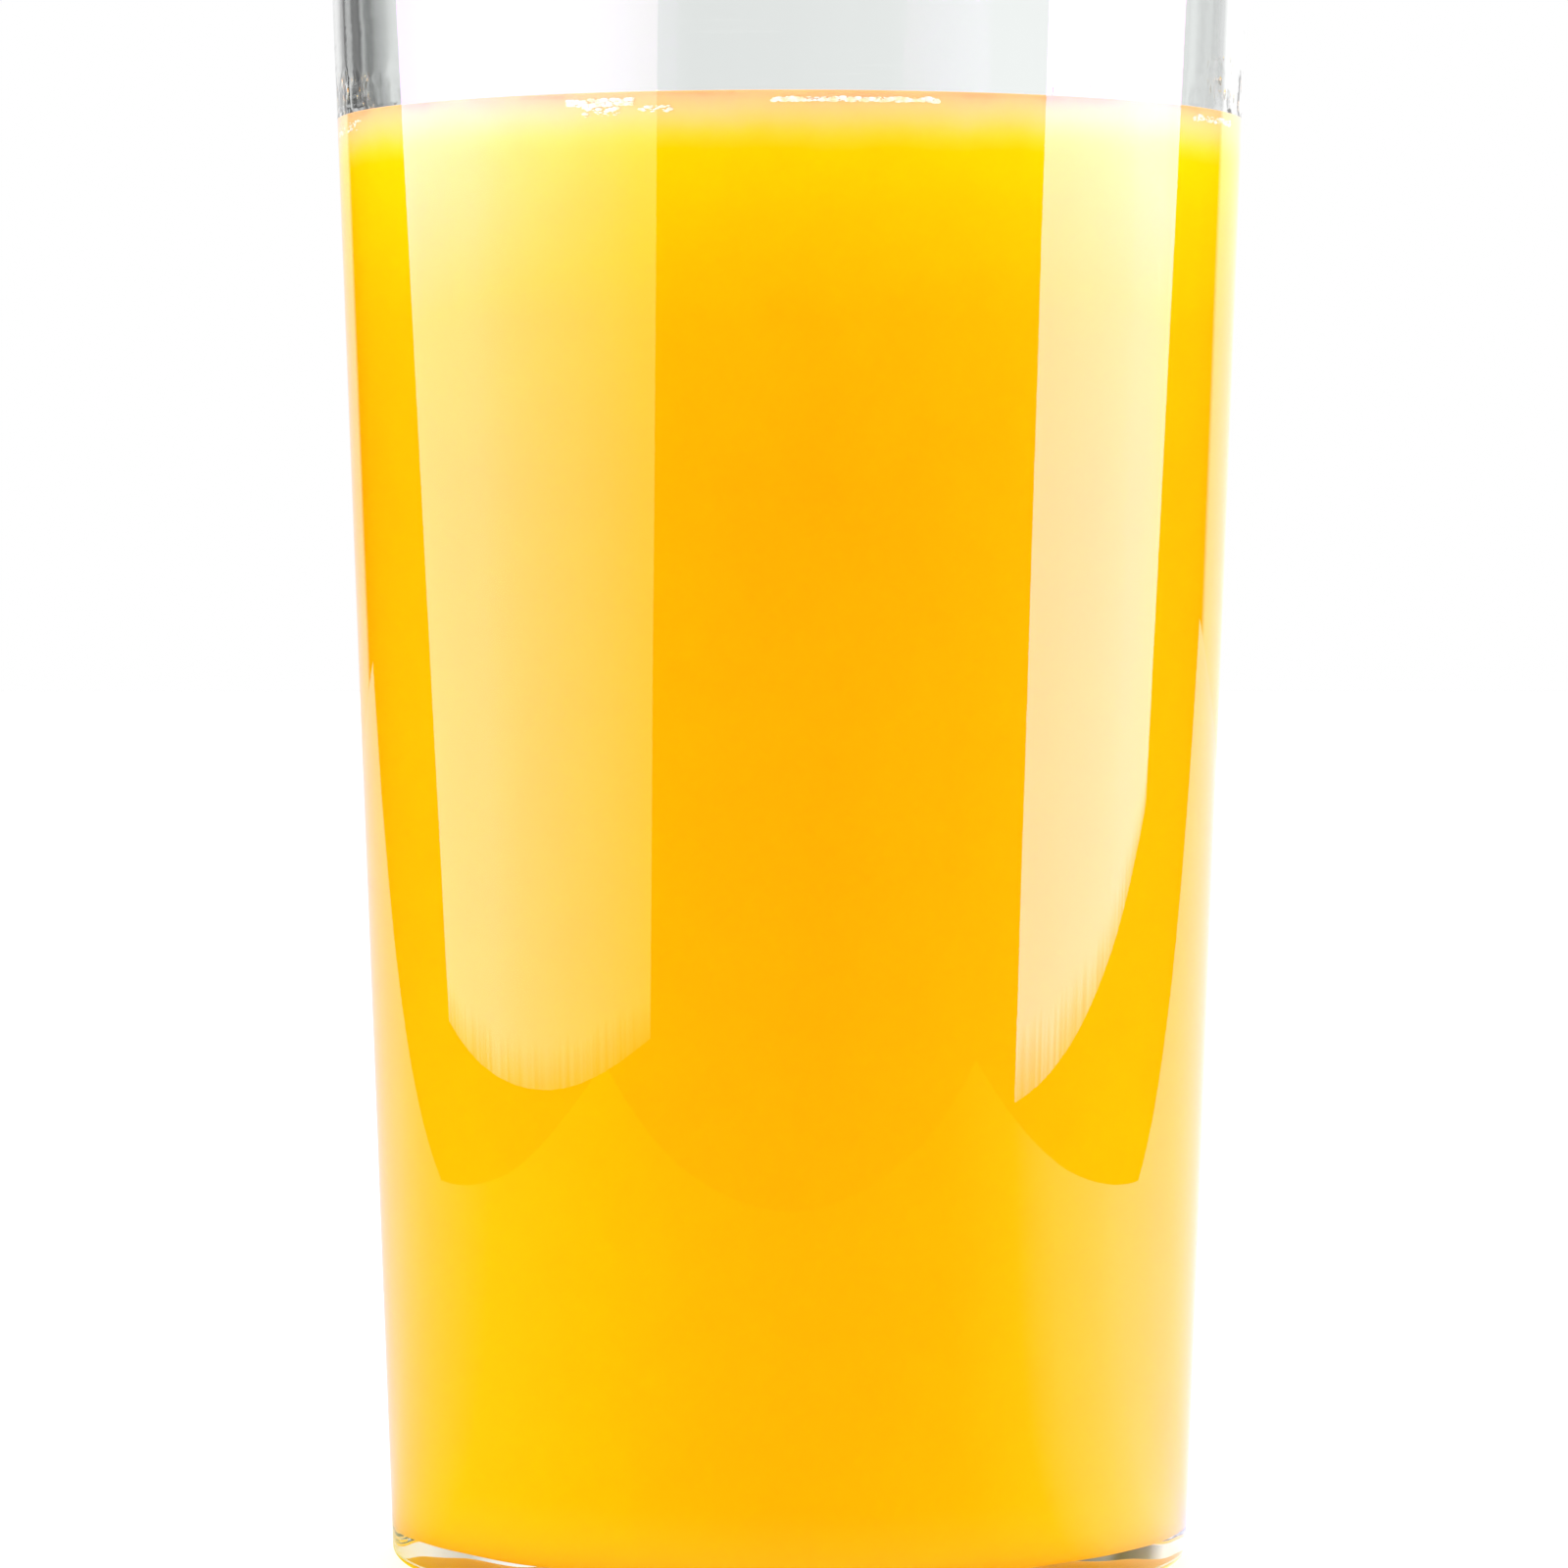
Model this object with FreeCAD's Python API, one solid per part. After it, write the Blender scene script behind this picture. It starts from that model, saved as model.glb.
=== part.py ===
"""A tall tapered drinking glass filled with orange juice.

Millimetres, +Z up. The origin is the middle of the foot, on the surface that the glass
stands on. Both pieces are turned about Z from a half outline in the XZ plane: the glass
as one wall with a rounded rim and a pushed-up foot, and the juice as what its inside
holds, up to a level whose edge climbs the wall in a meniscus.
"""

import FreeCAD, Part
import math
import os

# The glass, outside.
GLASS_HEIGHT = 132.0  # from the table to the top of the rim
RIM_DIAMETER = 69.7  # where the outer wall's line reaches the height of the rim
FOOT_DIAMETER = 60.0  # where the outer wall's line reaches the table
FOOT_CORNER = 0.8  # radius between the outer wall and the foot ring
FOOT_RING = 3.4  # width of the flat ring that touches the table
PUSH_UP = 0.6  # rise of the underside inside the ring, at its middle

# The glass, inside.
WALL = 1.9  # square to the wall, all the way up
FLOOR = 2.0  # floor of the glass, above the foot ring
FLOOR_CORNER = 6.0  # radius between the floor and the inner wall

# The juice.
JUICE_HEIGHT = 106.9  # its level surface, above the table
MENISCUS_RISE = 1.2  # how far its edge climbs the wall
MENISCUS_WIDTH = 2.4  # how far in from the wall the climb starts
JUICE_CLEARANCE = 0.02  # between the juice and the glass

OUT = "parts"


class Slope:
    """The outer wall's straight line, and the lines beside it at a depth into the glass."""

    def __init__(self):
        run = (RIM_DIAMETER - FOOT_DIAMETER) / 2
        length = math.hypot(run, GLASS_HEIGHT)
        self.foot = FreeCAD.Vector(FOOT_DIAMETER / 2, 0, 0)
        self.up = FreeCAD.Vector(run, 0, GLASS_HEIGHT) / length
        self.inward = FreeCAD.Vector(-self.up.z, 0, self.up.x)

    def at(self, depth, height):
        """The point at that height on the line that lies that deep in the wall."""
        start = self.foot + self.inward * depth
        return start + self.up * ((height - start.z) / self.up.z)


def arc(start, centre, radius, towards, end):
    """An arc from start to end that bulges from its centre in the direction towards."""
    middle = centre + towards.normalize() * radius
    return Part.Arc(start, middle, end).toShape()


def line(start, end):
    return Part.LineSegment(start, end).toShape()


def point(x, z):
    return FreeCAD.Vector(x, 0, z)


def turned(edges):
    """The solid that the closed outline sweeps in one turn about Z."""
    face = Part.Face(Part.Wire(edges))
    return face.revolve(point(0, 0), point(0, 1))


def cavity_corner(slope, gap):
    """The rounding between floor and inner wall, a gap inside it: its two ends and its arc."""
    radius = FLOOR_CORNER - gap
    centre = slope.at(WALL + gap + radius, FLOOR + gap + radius)
    on_floor = centre - FreeCAD.Vector(0, 0, radius)
    on_wall = centre - slope.inward * radius
    outward = -slope.inward - FreeCAD.Vector(0, 0, 1)
    return on_floor, on_wall, arc(on_floor, centre, radius, outward, on_wall)


def make_glass(slope):
    """The tumbler: foot ring and pushed-up underside, wall, rounded rim, and inside."""
    down = FreeCAD.Vector(0, 0, -1)

    corner = slope.at(FOOT_CORNER, FOOT_CORNER)
    ring_outer = corner + down * FOOT_CORNER
    wall_foot = corner - slope.inward * FOOT_CORNER
    foot_corner = arc(ring_outer, corner, FOOT_CORNER, down - slope.inward, wall_foot)

    ring_inner = ring_outer - FreeCAD.Vector(FOOT_RING, 0, 0)
    crown = point(0, PUSH_UP)
    dome_radius = (ring_inner.x**2 + PUSH_UP**2) / (2 * PUSH_UP)
    dome_centre = point(0, PUSH_UP - dome_radius)
    half_way = (ring_inner - dome_centre) + (crown - dome_centre)
    underside = arc(crown, dome_centre, dome_radius, half_way, ring_inner)

    rim_radius = WALL / 2
    rim = slope.at(rim_radius, GLASS_HEIGHT - rim_radius)
    rim_outer = rim - slope.inward * rim_radius
    rim_inner = rim + slope.inward * rim_radius
    rim_round = arc(rim_outer, rim, rim_radius, FreeCAD.Vector(slope.up), rim_inner)

    on_floor, on_wall, floor_corner = cavity_corner(slope, 0)
    floor_middle = point(0, FLOOR)
    return turned(
        [
            underside,
            line(ring_inner, ring_outer),
            foot_corner,
            line(wall_foot, rim_outer),
            rim_round,
            line(rim_inner, on_wall),
            floor_corner,
            line(on_floor, floor_middle),
            line(floor_middle, crown),
        ]
    )


def make_juice(slope):
    """What the glass holds: the cavity's shape up to the level, with its meniscus."""
    on_floor, on_wall, floor_corner = cavity_corner(slope, JUICE_CLEARANCE)
    contact = slope.at(WALL + JUICE_CLEARANCE, JUICE_HEIGHT + MENISCUS_RISE)
    level_edge = point(contact.x - MENISCUS_WIDTH, JUICE_HEIGHT)
    bend = (MENISCUS_WIDTH**2 + MENISCUS_RISE**2) / (2 * MENISCUS_RISE)
    bend_centre = level_edge + FreeCAD.Vector(0, 0, bend)
    half_way = (level_edge - bend_centre) + (contact - bend_centre)
    meniscus = arc(contact, bend_centre, bend, half_way, level_edge)
    floor_middle = point(0, on_floor.z)
    level_middle = point(0, JUICE_HEIGHT)
    return turned(
        [
            line(floor_middle, on_floor),
            floor_corner,
            line(on_wall, contact),
            meniscus,
            line(level_edge, level_middle),
            line(level_middle, floor_middle),
        ]
    )


def main():
    os.makedirs(OUT, exist_ok=True)
    slope = Slope()
    for name, solid in {"glass": make_glass(slope), "juice": make_juice(slope)}.items():
        solid.exportStep(os.path.join(OUT, name + ".step"))
        print(name, "valid" if solid.isValid() else "BROKEN", round(solid.Volume / 1000, 2), "ml")


main()
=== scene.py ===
"""A tall glass of orange juice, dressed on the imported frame.

The tumbler and the juice are turned afresh from their outlines, fine enough for light to bend
evenly through the wall. The juice reaches a little way into the wall, so no air gap shows.
Froth clings under the waterline, bubbles float on the surface, and droplets and a wet band
are left on the wall above it. Everything is in metres, +Z up, with the origin under the foot.
"""

import logging
import math
from dataclasses import dataclass, field
from enum import Enum
from typing import Any, Optional

import bpy
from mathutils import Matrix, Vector


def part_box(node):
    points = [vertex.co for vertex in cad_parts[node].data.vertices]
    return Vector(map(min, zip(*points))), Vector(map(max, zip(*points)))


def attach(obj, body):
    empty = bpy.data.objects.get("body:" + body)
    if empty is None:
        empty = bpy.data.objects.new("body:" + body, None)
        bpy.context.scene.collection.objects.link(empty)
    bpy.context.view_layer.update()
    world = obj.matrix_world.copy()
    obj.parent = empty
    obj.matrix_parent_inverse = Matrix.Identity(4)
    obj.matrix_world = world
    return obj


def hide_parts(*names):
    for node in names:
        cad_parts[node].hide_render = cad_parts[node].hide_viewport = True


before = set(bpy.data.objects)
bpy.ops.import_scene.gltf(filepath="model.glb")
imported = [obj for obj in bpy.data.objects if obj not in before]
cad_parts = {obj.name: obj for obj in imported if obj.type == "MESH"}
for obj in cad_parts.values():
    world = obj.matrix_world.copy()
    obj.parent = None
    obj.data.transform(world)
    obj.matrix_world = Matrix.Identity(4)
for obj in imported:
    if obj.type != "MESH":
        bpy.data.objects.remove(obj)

log = logging.getLogger("juice")

MM = 0.001
CREASE_ANGLE = math.radians(50.0)  # an edge that turns more than this stays sharp
FACES_UP = 0.3  # a face of the juice whose normal rises more than this is its free surface
BEAD_WIDTH = 1.6 * MM  # of the wet band's beads
TEAR_WIDTH = 2.6 * MM  # of the tears at its upper edge
STREAK_WIDTH = 9.0 * MM  # of the ragged streaks at the foot of a soft glow
LIFT_FOOT = 0.09  # between these heights a softbox changes to its upper colour
LIFT_TOP = 0.11
ROOT = "root"

# The kinds of node that are used most.
MATH = "ShaderNodeMath"
VECTOR_MATH = "ShaderNodeVectorMath"
SEPARATE = "ShaderNodeSeparateXYZ"
NOISE = "ShaderNodeTexNoise"
MAP_RANGE = "ShaderNodeMapRange"
RAMP = "ShaderNodeValToRGB"
MIX = "ShaderNodeMix"
PRINCIPLED = "ShaderNodeBsdfPrincipled"


# ---------------------------------------------------------------- helpers


class Ray(Enum):
    """The kinds of ray that a shader can tell apart, by their output on Light Path."""

    CAMERA = "Is Camera Ray"
    SHADOW = "Is Shadow Ray"
    DIFFUSE = "Is Diffuse Ray"
    GLOSSY = "Is Glossy Ray"
    TRANSMISSION = "Is Transmission Ray"


class Way(Enum):
    """The direction in which a glow changes its colour."""

    ACROSS = "from left to right"
    AROUND = "round the glass"


def linear(hex_colour: str) -> tuple[float, float, float, float]:
    """Turn an sRGB hex colour into linear RGBA.

    Args:
        hex_colour: six hex digits after a hash, such as "#FFB300".

    Returns:
        The colour as linear red, green, blue and an alpha of one.
    """
    channels = [int(hex_colour[i : i + 2], 16) / 255 for i in (1, 3, 5)]
    red, green, blue = (c / 12.92 if c <= 0.04045 else ((c + 0.055) / 1.055) ** 2.4 for c in channels)
    return red, green, blue, 1.0


def add_node(
    tree: bpy.types.NodeTree, kind: str, inputs: Optional[dict] = None, **settings: Any
) -> bpy.types.Node:
    """Add a node, set its properties, and link or fill its inputs.

    Args:
        tree: the node tree that gets the node.
        kind: the node's type name.
        inputs: input name or number to a constant, or to an output socket that is linked to it.
        settings: properties of the node itself.

    Returns:
        The new node.
    """
    node = tree.nodes.new(kind)
    for name, value in settings.items():
        setattr(node, name, value)
    for key, value in (inputs or {}).items():
        if isinstance(value, bpy.types.NodeSocket):
            tree.links.new(value, node.inputs[key])
        else:
            node.inputs[key].default_value = value
    return node


def fill_ramp(node: bpy.types.Node, stops: list[tuple[float, tuple]]) -> None:
    """Give a Color Ramp these stops, each a position and a linear colour.

    Args:
        node: the Color Ramp node.
        stops: positions from 0 to 1 in rising order, with their colours.
    """
    elements = node.color_ramp.elements
    while len(elements) < len(stops):
        elements.new(1.0)
    for element, (position, colour) in zip(elements, stops):
        element.position = position
        element.color = colour


def new_tree(name: str, sockets: dict[str, str]) -> tuple[bpy.types.NodeTree, bpy.types.Node]:
    """Start a Geometry Nodes tree with these named inputs and one geometry output.

    Args:
        name: the tree's name.
        sockets: input name to socket type.

    Returns:
        The tree and its Group Input node.
    """
    tree = bpy.data.node_groups.new(name, "GeometryNodeTree")
    for socket, kind in sockets.items():
        tree.interface.new_socket(socket, in_out="INPUT", socket_type=kind)
    tree.interface.new_socket("Geometry", in_out="OUTPUT", socket_type="NodeSocketGeometry")
    return tree, tree.nodes.new("NodeGroupInput")


def finish_tree(
    tree: bpy.types.NodeTree, geometry: bpy.types.NodeSocket, material: bpy.types.NodeSocket
) -> None:
    """End a tree: smooth shading, realized instances, its material and the output.

    Args:
        tree: the tree.
        geometry: the geometry that has been built.
        material: the Group Input's material socket.
    """
    smooth = add_node(tree, "GeometryNodeSetShadeSmooth", {0: geometry})
    real = add_node(tree, "GeometryNodeRealizeInstances", {0: smooth.outputs[0]})
    dressed = add_node(
        tree, "GeometryNodeSetMaterial", {"Geometry": real.outputs[0], "Material": material}
    )
    add_node(tree, "NodeGroupOutput", {0: dressed.outputs[0]})


def grow(
    name: str, start: bpy.types.Mesh, tree: bpy.types.NodeTree, values: dict[str, Any]
) -> bpy.types.Object:
    """Run a Geometry Nodes tree on a mesh and keep the result as a plain mesh.

    Args:
        name: the finished object's name.
        start: the mesh that the tree starts from.
        tree: the Geometry Nodes tree.
        values: input name to its value.

    Returns:
        An object at the origin with no modifier.
    """
    piece = bpy.data.objects.new(name, start)
    bpy.context.scene.collection.objects.link(piece)
    modifier = piece.modifiers.new(tree.name, "NODES")
    modifier.node_group = tree
    for item in tree.interface.items_tree:
        if item.item_type == "SOCKET" and item.in_out == "INPUT" and item.name in values:
            modifier[item.identifier] = values[item.name]
    evaluated = piece.evaluated_get(bpy.context.evaluated_depsgraph_get())
    mesh = bpy.data.meshes.new_from_object(evaluated)
    piece.modifiers.remove(modifier)
    piece.data = mesh
    mesh.name = name
    mesh.set_sharp_from_angle(angle=CREASE_ANGLE)
    while mesh.materials and mesh.materials[0] is None:
        mesh.materials.pop(index=0)
    return piece


def report(piece: bpy.types.Object) -> None:
    """Log a piece's size in millimetres and how many triangles it has.

    Args:
        piece: a finished mesh object.
    """
    mesh = piece.data
    mesh.calc_loop_triangles()
    size = " x ".join(f"{side / MM:.1f}" for side in piece.dimensions)
    log.info("%s: %s mm, %d triangles", piece.name, size, len(mesh.loop_triangles))


class Outline:
    """Half of a turned shape, as points of radius and height from the axis round to the axis."""

    def __init__(self, radius: float, height: float) -> None:
        """Start the outline at one point."""
        self.points = [Vector((radius, height))]

    def line(self, end: Vector, steps: int = 1) -> None:
        """Go straight on in even steps.

        Args:
            end: the point where the line stops.
            steps: how many parts it has.
        """
        start = self.points[-1]
        self.points += [start.lerp(end, i / steps) for i in range(1, steps + 1)]

    def arc(self, centre: Vector, end: Vector, steps: int) -> None:
        """Go round centre to end, the short way.

        Args:
            centre: the middle of the arc.
            end: the point where it stops.
            steps: how many chords stand for it.
        """
        start = self.points[-1] - centre
        turn = -start.angle_signed(end - centre)
        for i in range(1, steps + 1):
            angle = math.atan2(start.y, start.x) + turn * i / steps
            self.points.append(centre + start.length * Vector((math.cos(angle), math.sin(angle))))

    def mesh(self, name: str) -> bpy.types.Mesh:
        """The outline as a chain of vertices in the XZ plane.

        Args:
            name: the mesh's name.

        Returns:
            A mesh of vertices and edges.
        """
        chain = bpy.data.meshes.new(name)
        chain.from_pydata(
            [(p.x, 0.0, p.y) for p in self.points],
            [(i, i + 1) for i in range(len(self.points) - 1)],
            [],
        )
        return chain


# ---------------------------------------------------------------- Geometry Nodes trees


def turning_tree() -> bpy.types.NodeTree:
    """The lathe: sweeps an outline about Z into a closed skin, with slow ripples and a wet band.

    Returns:
        The tree. Ripples only take material away, so the skin stays inside its outline's sweep.
    """
    tree, given = new_tree(
        "turn_outline",
        {
            "Geometry": "NodeSocketGeometry",
            "Rows": "NodeSocketInt",
            "Segments": "NodeSocketInt",
            "Ripple depth": "NodeSocketFloat",
            "Ripple width": "NodeSocketFloat",
            "Film row": "NodeSocketInt",
            "Film bottom": "NodeSocketFloat",
            "Film top": "NodeSocketFloat",
            "Film depth": "NodeSocketFloat",
            "Finish": "NodeSocketMaterial",
        },
    )

    ask = given.outputs

    around = add_node(tree, MATH, {0: ask["Segments"], 1: 1.0}, operation="ADD").outputs[0]
    grid = add_node(tree, "GeometryNodeMeshGrid", {"Vertices X": ask["Rows"], "Vertices Y": around})
    index = tree.nodes.new("GeometryNodeInputIndex").outputs[0]
    share = add_node(tree, MATH, {0: index, 1: around}, operation="DIVIDE").outputs[0]
    row = add_node(tree, MATH, {0: share}, operation="FLOOR").outputs[0]
    row_start = add_node(tree, MATH, {0: row, 1: around}, operation="MULTIPLY").outputs[0]
    column = add_node(tree, MATH, {0: index, 1: row_start}, operation="SUBTRACT").outputs[0]
    full_turns = add_node(tree, MATH, {0: column, 1: math.tau}, operation="MULTIPLY").outputs[0]
    angle = add_node(tree, MATH, {0: full_turns, 1: ask["Segments"]}, operation="DIVIDE").outputs[0]
    spot = tree.nodes.new("GeometryNodeInputPosition").outputs[0]
    sample = add_node(
        tree,
        "GeometryNodeSampleIndex",
        {"Geometry": ask["Geometry"], "Value": spot, "Index": row},
        data_type="FLOAT_VECTOR",
        domain="POINT",
    )
    turned = add_node(
        tree,
        "ShaderNodeVectorRotate",
        {"Vector": sample.outputs["Value"], "Angle": angle},
        rotation_type="Z_AXIS",
    ).outputs[0]
    height = add_node(tree, SEPARATE, {0: turned}).outputs["Z"]
    radial = add_node(tree, VECTOR_MATH, {0: turned, 1: (1.0, 1.0, 0.0)}, operation="MULTIPLY").outputs[0]
    outward = add_node(tree, VECTOR_MATH, {0: radial}, operation="NORMALIZE").outputs[0]

    # Slow ripples: a different pattern on each row of the outline, so inside and outside differ.
    slice_of_row = add_node(tree, MATH, {0: row, 1: 0.07}, operation="MULTIPLY").outputs[0]
    ripple_scale = add_node(tree, MATH, {0: 1.0, 1: ask["Ripple width"]}, operation="DIVIDE").outputs[0]
    slow = add_node(
        tree,
        NOISE,
        {"Vector": turned, "W": slice_of_row, "Scale": ripple_scale, "Detail": 1.0},
        noise_dimensions="4D",
    ).outputs[0]
    ripple = add_node(tree, MATH, {0: slow, 1: ask["Ripple depth"]}, operation="MULTIPLY").outputs[0]

    # The wet band: beads drawn out downwards, under an edge of tears, strongest at the two sides.
    drawn = add_node(tree, VECTOR_MATH, {0: turned, 1: (1.0, 1.0, 0.3)}, operation="MULTIPLY").outputs[0]
    beads = add_node(
        tree, NOISE, {"Vector": drawn, "Scale": 1 / BEAD_WIDTH, "Detail": 1.0}, noise_dimensions="3D"
    ).outputs[0]
    tears = add_node(
        tree, NOISE, {"Vector": radial, "Scale": 1 / TEAR_WIDTH, "Detail": 2.0}, noise_dimensions="3D"
    ).outputs[0]
    bottom = ask["Film bottom"]
    span = add_node(tree, MATH, {0: ask["Film top"], 1: bottom}, operation="SUBTRACT").outputs[0]
    reach = add_node(tree, MATH, {0: tears, 1: 1.6}, operation="MULTIPLY").outputs[0]
    edge = add_node(tree, MATH, {0: span, 1: reach, 2: bottom}, operation="MULTIPLY_ADD").outputs[0]
    under_edge = add_node(tree, MATH, {0: height, 1: edge}, operation="LESS_THAN").outputs[0]
    fade = add_node(
        tree,
        MAP_RANGE,
        {"Value": height, "From Min": edge, "From Max": bottom, "To Min": 0.25, "To Max": 1.0},
    ).outputs[0]
    above = add_node(tree, MATH, {0: height, 1: bottom}, operation="GREATER_THAN").outputs[0]
    inside = add_node(tree, MATH, {0: row, 1: ask["Film row"]}, operation="GREATER_THAN").outputs[0]
    sideways = add_node(tree, SEPARATE, {0: outward}).outputs["X"]
    sharp = add_node(tree, MATH, {0: sideways, 1: 8.0}, operation="POWER").outputs[0]
    sides = add_node(tree, MATH, {0: sharp, 1: 0.97, 2: 0.03}, operation="MULTIPLY_ADD").outputs[0]
    film = ask["Film depth"]
    for factor in (sides, above, under_edge, inside, fade, beads):
        film = add_node(tree, MATH, {0: film, 1: factor}, operation="MULTIPLY").outputs[0]

    both = add_node(tree, MATH, {0: ripple, 1: film}, operation="ADD").outputs[0]
    pull = add_node(tree, MATH, {0: both, 1: -1.0}, operation="MULTIPLY").outputs[0]
    moved = add_node(tree, VECTOR_MATH, {0: outward, "Scale": pull}, operation="SCALE").outputs[0]
    place = add_node(tree, VECTOR_MATH, {0: turned, 1: moved}, operation="ADD").outputs[0]
    skin = add_node(tree, "GeometryNodeSetPosition", {"Geometry": grid.outputs["Mesh"], "Position": place})
    closed = add_node(
        tree, "GeometryNodeMergeByDistance", {"Geometry": skin.outputs[0], "Distance": 0.0005 * MM}
    )
    outside = add_node(tree, "GeometryNodeFlipFaces", {"Mesh": closed.outputs[0]})
    finish_tree(tree, outside.outputs[0], ask["Finish"])
    return tree


def scatter_tree() -> bpy.types.NodeTree:
    """Scatters round beads in a band about Z, such as droplets on a wall or bubbles on a surface.

    Returns:
        The tree. Bead sizes run from the least to the largest radius, with many more small ones.
    """
    tree, given = new_tree(
        "scatter_beads",
        {
            "Geometry": "NodeSocketGeometry",
            "Count": "NodeSocketInt",
            "Seed": "NodeSocketInt",
            "Angle": "NodeSocketFloat",
            "Half angle": "NodeSocketFloat",
            "Radius at base": "NodeSocketFloat",
            "Radius spread": "NodeSocketFloat",
            "Taper": "NodeSocketFloat",
            "Lowest": "NodeSocketFloat",
            "Highest": "NodeSocketFloat",
            "Smallest": "NodeSocketFloat",
            "Largest": "NodeSocketFloat",
            "Shape": "NodeSocketVector",
            "Finish": "NodeSocketMaterial",
        },
    )

    ask = given.outputs

    chances = []  # four random numbers from 0 to 1 for each bead
    for offset in (1.0, 2.0, 3.0, 4.0):
        seed = add_node(tree, MATH, {0: ask["Seed"], 1: offset}, operation="ADD").outputs[0]
        draw = add_node(tree, "FunctionNodeRandomValue", {"Seed": seed}, data_type="FLOAT")
        chances.append(draw.outputs[1])
    sideways, up, inwards, grade = chances

    centred = add_node(tree, MATH, {0: sideways, 1: 2.0, 2: -1.0}, operation="MULTIPLY_ADD").outputs[0]
    angle = add_node(
        tree, MATH, {0: centred, 1: ask["Half angle"], 2: ask["Angle"]}, operation="MULTIPLY_ADD"
    ).outputs[0]
    span = add_node(tree, MATH, {0: ask["Highest"], 1: ask["Lowest"]}, operation="SUBTRACT").outputs[0]
    height = add_node(tree, MATH, {0: up, 1: span, 2: ask["Lowest"]}, operation="MULTIPLY_ADD").outputs[0]
    wall = add_node(
        tree, MATH, {0: height, 1: ask["Taper"], 2: ask["Radius at base"]}, operation="MULTIPLY_ADD"
    ).outputs[0]
    crowd = add_node(tree, MATH, {0: inwards, 1: 2.0}, operation="POWER").outputs[0]
    back = add_node(tree, MATH, {0: crowd, 1: ask["Radius spread"]}, operation="MULTIPLY").outputs[0]
    radius = add_node(tree, MATH, {0: back, 1: -1.0, 2: wall}, operation="MULTIPLY_ADD").outputs[0]
    across = add_node(tree, MATH, {0: angle}, operation="COSINE").outputs[0]
    deep = add_node(tree, MATH, {0: angle}, operation="SINE").outputs[0]
    x = add_node(tree, MATH, {0: radius, 1: across}, operation="MULTIPLY").outputs[0]
    y = add_node(tree, MATH, {0: radius, 1: deep}, operation="MULTIPLY").outputs[0]
    spot = add_node(tree, "ShaderNodeCombineXYZ", {"X": x, "Y": y, "Z": height}).outputs[0]
    points = add_node(tree, "GeometryNodePoints", {"Count": ask["Count"], "Position": spot})
    bead = add_node(tree, "GeometryNodeMeshUVSphere", {"Segments": 10, "Rings": 7, "Radius": 1.0})
    few_large = add_node(tree, MATH, {0: grade, 1: 3.0}, operation="POWER").outputs[0]
    grown = add_node(tree, MATH, {0: ask["Largest"], 1: ask["Smallest"]}, operation="SUBTRACT").outputs[0]
    size = add_node(
        tree, MATH, {0: few_large, 1: grown, 2: ask["Smallest"]}, operation="MULTIPLY_ADD"
    ).outputs[0]
    scale = add_node(tree, VECTOR_MATH, {0: ask["Shape"], "Scale": size}, operation="SCALE").outputs[0]
    facing = add_node(tree, "ShaderNodeCombineXYZ", {"Z": angle}).outputs[0]
    placed = add_node(
        tree,
        "GeometryNodeInstanceOnPoints",
        {"Points": points.outputs[0], "Instance": bead.outputs["Mesh"], "Rotation": facing, "Scale": scale},
    )
    both = add_node(tree, "GeometryNodeJoinGeometry", {0: placed.outputs[0]})
    tree.links.new(ask["Geometry"], both.inputs[0])
    finish_tree(tree, both.outputs[0], ask["Finish"])
    return tree


# ---------------------------------------------------------------- finishes


def new_material(name: str) -> tuple[bpy.types.Material, bpy.types.NodeTree, bpy.types.Node]:
    """An empty node material.

    Args:
        name: the material's name.

    Returns:
        The material, its tree and its output node.
    """
    material = bpy.data.materials.new(name)
    material.use_nodes = True
    tree = material.node_tree
    tree.nodes.clear()
    return material, tree, tree.nodes.new("ShaderNodeOutputMaterial")


def let_light_in(tree: bpy.types.NodeTree, shader: bpy.types.NodeSocket) -> bpy.types.NodeSocket:
    """Make a clear shader pass light straight to what is behind it, as real glass does.

    Args:
        tree: the material's tree.
        shader: the clear shader.

    Returns:
        The shader, with rays from lamps and from matt surfaces passing unbent.
    """
    open_way = add_node(tree, "ShaderNodeBsdfTransparent").outputs[0]
    path = tree.nodes.new("ShaderNodeLightPath")
    for ray in (Ray.SHADOW, Ray.DIFFUSE):
        shader = add_node(
            tree, "ShaderNodeMixShader", {0: path.outputs[ray.value], 1: shader, 2: open_way}
        ).outputs[0]
    return shader


@dataclass(frozen=True)
class ClearGlass:
    """Pressed soda-lime glass, fire-polished: colourless, with hard mirror highlights.

    To the eye it is all edges: bright and dark lines at the rim and foot, and clear between them.
    """

    name: str = "soda_lime_glass"
    tint: str = "#FCFEFD"
    ior: float = 1.52

    def material(self) -> bpy.types.Material:
        """Build the finish.

        Returns:
            A smooth, fully transmitting material.
        """
        material, tree, output = new_material(self.name)
        colour = linear(self.tint)
        body = add_node(
            tree,
            PRINCIPLED,
            {"Base Color": colour, "Roughness": 0.0, "IOR": self.ior, "Transmission Weight": 1.0},
        )
        tree.links.new(let_light_in(tree, body.outputs[0]), output.inputs[0])
        return material


@dataclass(frozen=True)
class ClearDrop(ClearGlass):
    """Thin watery juice in droplets on the wall: clear with a breath of yellow, bright edges."""

    name: str = "watery_juice"
    tint: str = "#FFFBEC"
    ior: float = 1.34


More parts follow.
